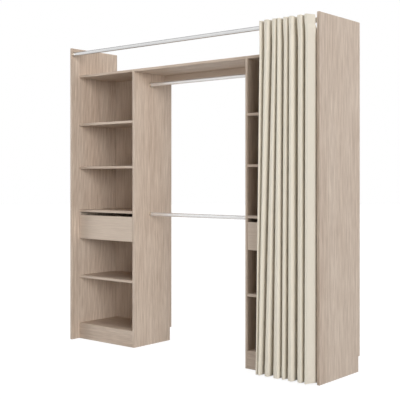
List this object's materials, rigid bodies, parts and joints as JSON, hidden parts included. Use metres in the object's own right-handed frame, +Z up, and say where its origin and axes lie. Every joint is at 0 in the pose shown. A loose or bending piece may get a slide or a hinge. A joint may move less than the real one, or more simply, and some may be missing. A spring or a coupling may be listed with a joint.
{
  "type": "curtain wardrobe",
  "caption": "Free-standing open wardrobe: two shelf columns with a drawer each, a hanging bay with rails between them, and a gathered curtain on a rod across the front.",
  "frame": {"origin": "on the floor, at the centre of the whole footprint, gathered curtain included", "axes": "+X to the right along the width, +Y to the back and the wall, +Z up; the curtain hangs at the front, towards -Y"},
  "size_m": [2.03, 0.4922, 2.03],
  "materials": {
    "oak_board": "matt light oak decor on chipboard",
    "drawer_board": "matt light oak decor",
    "back_board": "matt printed hardboard",
    "tube_metal": "satin chrome on steel tube",
    "socket_metal": "satin",
    "runner_steel": "zinc plated",
    "curtain_cloth": "plain weave, natural linen colour"
  },
  "bodies": {
    "carcass": {"left_side_panel": "oak_board", "left_inner_panel": "oak_board", "left_bottom_board": "oak_board", "left_top_board": "oak_board", "left_shelf_1": "oak_board", "left_shelf_2": "oak_board", "left_shelf_3": "oak_board", "left_shelf_4": "oak_board", "left_plinth": "oak_board", "left_back_panel": "back_board", "right_side_panel": "oak_board", "right_inner_panel": "oak_board", "right_bottom_board": "oak_board", "right_top_board": "oak_board", "right_shelf_1": "oak_board", "right_shelf_2": "oak_board", "right_shelf_3": "oak_board", "right_shelf_4": "oak_board", "right_plinth": "oak_board", "right_back_panel": "back_board", "bay_top_board": "oak_board", "bay_back_rail": "oak_board", "left_cabinet_runner_left": "runner_steel", "left_cabinet_runner_right": "runner_steel", "right_cabinet_runner_left": "runner_steel", "right_cabinet_runner_right": "runner_steel", "upper_rail": "tube_metal", "upper_rail_left_socket": "socket_metal", "upper_rail_right_socket": "socket_metal", "lower_rail": "tube_metal", "lower_rail_left_socket": "socket_metal", "lower_rail_right_socket": "socket_metal", "curtain_rod": "tube_metal", "curtain_rod_left_socket": "socket_metal", "curtain_rod_right_socket": "socket_metal"},
    "left_drawer": {"left_drawer_front": "oak_board", "left_drawer_left_side": "drawer_board", "left_drawer_right_side": "drawer_board", "left_drawer_back": "drawer_board", "left_drawer_bottom": "back_board", "left_drawer_runner_left": "runner_steel", "left_drawer_runner_right": "runner_steel"},
    "right_drawer": {"right_drawer_front": "oak_board", "right_drawer_left_side": "drawer_board", "right_drawer_right_side": "drawer_board", "right_drawer_back": "drawer_board", "right_drawer_bottom": "back_board", "right_drawer_runner_left": "runner_steel", "right_drawer_runner_right": "runner_steel"},
    "upper_folds_1": {"curtain_upper_1": "curtain_cloth"},
    "upper_folds_2": {"curtain_upper_2": "curtain_cloth"},
    "upper_folds_3": {"curtain_upper_3": "curtain_cloth"},
    "upper_folds_4": {"curtain_upper_4": "curtain_cloth"},
    "lower_folds_1": {"curtain_lower_1": "curtain_cloth"},
    "lower_folds_2": {"curtain_lower_2": "curtain_cloth"},
    "lower_folds_3": {"curtain_lower_3": "curtain_cloth"},
    "lower_folds_4": {"curtain_lower_4": "curtain_cloth"}
  },
  "joints": [
    {"name": "left_drawer_slide", "type": "slide", "parent": "carcass", "child": "left_drawer", "axis": [0, -1, 0], "range_m": [0, 0.24]},
    {"name": "right_drawer_slide", "type": "slide", "parent": "carcass", "child": "right_drawer", "axis": [0, -1, 0], "range_m": [0, 0.24]},
    {"name": "curtain_swing", "type": "hinge", "parent": "carcass", "child": "upper_folds_4", "pos_m": [0.986, -0.174, 1.988], "axis": [-1, 0, 0], "range_deg": [0, 11.3]},
    {"name": "curtain_knee", "type": "hinge", "parent": "upper_folds_4", "child": "lower_folds_4", "pos_m": [0.986, -0.246, 0.89], "axis": [1, 0, 0], "range_deg": [0, 11.3]},
    {"name": "curtain_draw", "type": "slide", "parent": "upper_folds_4", "child": "upper_folds_3", "axis": [-1, 0, 0], "range_m": [0, 0.525], "deforming": ["curtain_upper_4", "curtain_upper_3"]},
    {"name": "upper_draw_2", "type": "slide", "parent": "upper_folds_3", "child": "upper_folds_2", "axis": [-1, 0, 0], "range_m": [0, 0.525], "deforming": ["curtain_upper_2"]},
    {"name": "upper_draw_1", "type": "slide", "parent": "upper_folds_2", "child": "upper_folds_1", "axis": [-1, 0, 0], "range_m": [0, 0.525], "deforming": ["curtain_upper_1"]},
    {"name": "lower_draw_3", "type": "slide", "parent": "lower_folds_4", "child": "lower_folds_3", "axis": [-1, 0, 0], "range_m": [0, 0.525], "deforming": ["curtain_lower_4", "curtain_lower_3"]},
    {"name": "lower_draw_2", "type": "slide", "parent": "lower_folds_3", "child": "lower_folds_2", "axis": [-1, 0, 0], "range_m": [0, 0.525], "deforming": ["curtain_lower_2"]},
    {"name": "lower_draw_1", "type": "slide", "parent": "lower_folds_2", "child": "lower_folds_1", "axis": [-1, 0, 0], "range_m": [0, 0.525], "deforming": ["curtain_lower_1"]}
  ],
  "couplings": [
    {"joint": "curtain_swing", "follows": "right_drawer_slide", "rad_per_m": 0.8213},
    {"joint": "curtain_knee", "follows": "right_drawer_slide", "rad_per_m": 0.8213},
    {"joint": "upper_draw_2", "follows": "curtain_draw", "ratio": 1},
    {"joint": "upper_draw_1", "follows": "curtain_draw", "ratio": 1},
    {"joint": "lower_draw_3", "follows": "curtain_draw", "ratio": 1},
    {"joint": "lower_draw_2", "follows": "curtain_draw", "ratio": 1},
    {"joint": "lower_draw_1", "follows": "curtain_draw", "ratio": 1}
  ]
}
